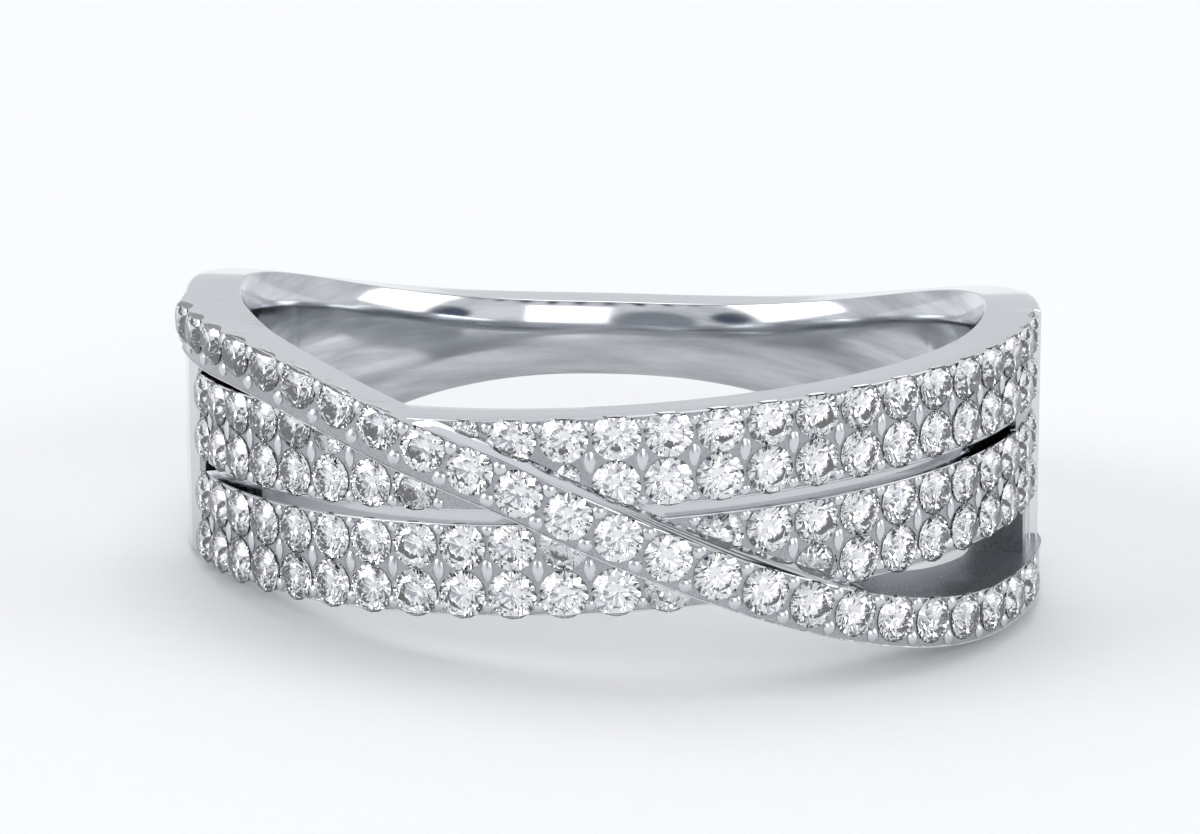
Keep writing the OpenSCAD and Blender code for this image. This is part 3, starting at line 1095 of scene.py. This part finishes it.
# %% Ribs of the tent
rib_every, rib_half, rib_soft = 12, 1.9, 0.6
turn = add(tree, "ShaderNodeMath", {"operation": "ARCTAN2"})
tree.links.new(axes.outputs["X"], turn.inputs[0])
tree.links.new(axes.outputs["Y"], turn.inputs[1])
from_rib = add(tree, "ShaderNodeMath", {"operation": "PINGPONG"})
tree.links.new(turn.outputs["Value"], from_rib.inputs[0])
from_rib.inputs[1].default_value = math.radians(rib_every / 2)
rib = add(tree, "ShaderNodeMapRange",
          {"From Min": math.radians(rib_half + rib_soft), "From Max": math.radians(rib_half)},
          {"Value": from_rib.outputs["Value"]})
rib_low = add(tree, "ShaderNodeMapRange", {"From Min": 0.6, "From Max": 0.66}, {"Value": axes.outputs["Z"]})
rib_high = add(tree, "ShaderNodeMapRange", {"From Min": 0.9, "From Max": 0.86}, {"Value": axes.outputs["Z"]})
rib_front = add(tree, "ShaderNodeMapRange", {"From Min": 0.3, "From Max": 0.1}, {"Value": axes.outputs["Y"]})
shown = rib.outputs["Result"]
for limit in (rib_low, rib_high, rib_front):
    part = add(tree, "ShaderNodeMath", {"operation": "MULTIPLY"})
    tree.links.new(shown, part.inputs[0])
    tree.links.new(limit.outputs["Result"], part.inputs[1])
    shown = part.outputs["Value"]
ribbed = add(tree, "ShaderNodeMix", {"data_type": "RGBA"}, {"Factor": shown, "A": seen})
ribbed.inputs["B"].default_value = linear(black_card)
seen = ribbed.outputs["Result"]
sky = add(tree, "ShaderNodeBackground", {"Strength": 1.0}, {"Color": seen})
add(tree, "ShaderNodeOutputWorld", {}, {"Surface": sky.outputs["Background"]})
print("a rib every", rib_every, "degrees, on the viewer's side")

# %% [markdown]
# A large soft box overhead lights the table and drops a faint shadow straight below the ring.
# Three more stand in front and at both sides: each shows as a bright patch on the eased edge
# inside the back of the hole, and they make the stones flash. All stand more than a metre away,
# so that the table is lit evenly, and their power follows from the brightness they should have.

# %% Soft boxes
box_away_mm = 1200


def soft_box(name, azimuth, height_deg, wide_mm, tall_mm, brightness):
    """A box seen from the ring at an azimuth (0 at the viewer, to the right) and height."""
    lamp = bpy.data.lights.new(name, "AREA")
    lamp.shape, lamp.size, lamp.size_y = "RECTANGLE", wide_mm * MM, tall_mm * MM
    lamp.energy = brightness * math.pi * lamp.size * lamp.size_y
    box = bpy.data.objects.new(name, lamp)
    flat = cos(height_deg)
    spot = Vector((flat * sin(azimuth), -flat * cos(azimuth), sin(height_deg)))
    box.location = spot * box_away_mm * MM
    box.rotation_mode = "QUATERNION"
    box.rotation_quaternion = spot.to_track_quat("Z", "Y")
    bpy.context.scene.collection.objects.link(box)
    print(name, round(lamp.energy, 1), "W")


soft_box("overhead_soft_box", 180, 70, 720, 720, 1.9)
soft_box("front_soft_box", 16, 24, 600, 520, 1.9)
soft_box("right_soft_box", 84, 25, 620, 640, 2.0)
soft_box("left_soft_box", -72, 26, 760, 700, 3.0)

# %% [markdown]
# The camera has a long lens 120 mm from the ring and looks 12.7 degrees down on its upright
# pose. It is turned with the ring's lean, so that the ring shows as it is, level in the picture.

# %% Camera
picture_w, picture_h = 1200, 834
focal_px, look_down, distance_mm = 5016, 12.7, 120
centre_x, centre_y = 613, 413.8
lens = bpy.data.cameras.new("long_lens")
lens.sensor_width = 36
lens.lens = focal_px / picture_w * lens.sensor_width
lens.clip_start = 0.001
lens.shift_x = (picture_w / 2 - centre_x) / picture_w
lens.shift_y = (centre_y - picture_h / 2) / picture_w
camera = bpy.data.objects.new("long_lens", lens)
away = Vector((0, -cos(look_down), sin(look_down))) * distance_mm * MM
pose = Matrix.Translation(away) @ Matrix.Rotation(math.radians(90 - look_down), 4, "X")
camera.matrix_world = at_rest @ pose
bpy.context.scene.collection.objects.link(camera)
bpy.context.scene.camera = camera
bpy.context.scene.view_settings.view_transform = "Standard"
print("lens", round(lens.lens, 1), "mm")

# %% [markdown]
# The last cell brings the scene up to date. The surface may hardly grow past the solids it
# stands for.

# %% The end
bpy.context.view_layer.update()
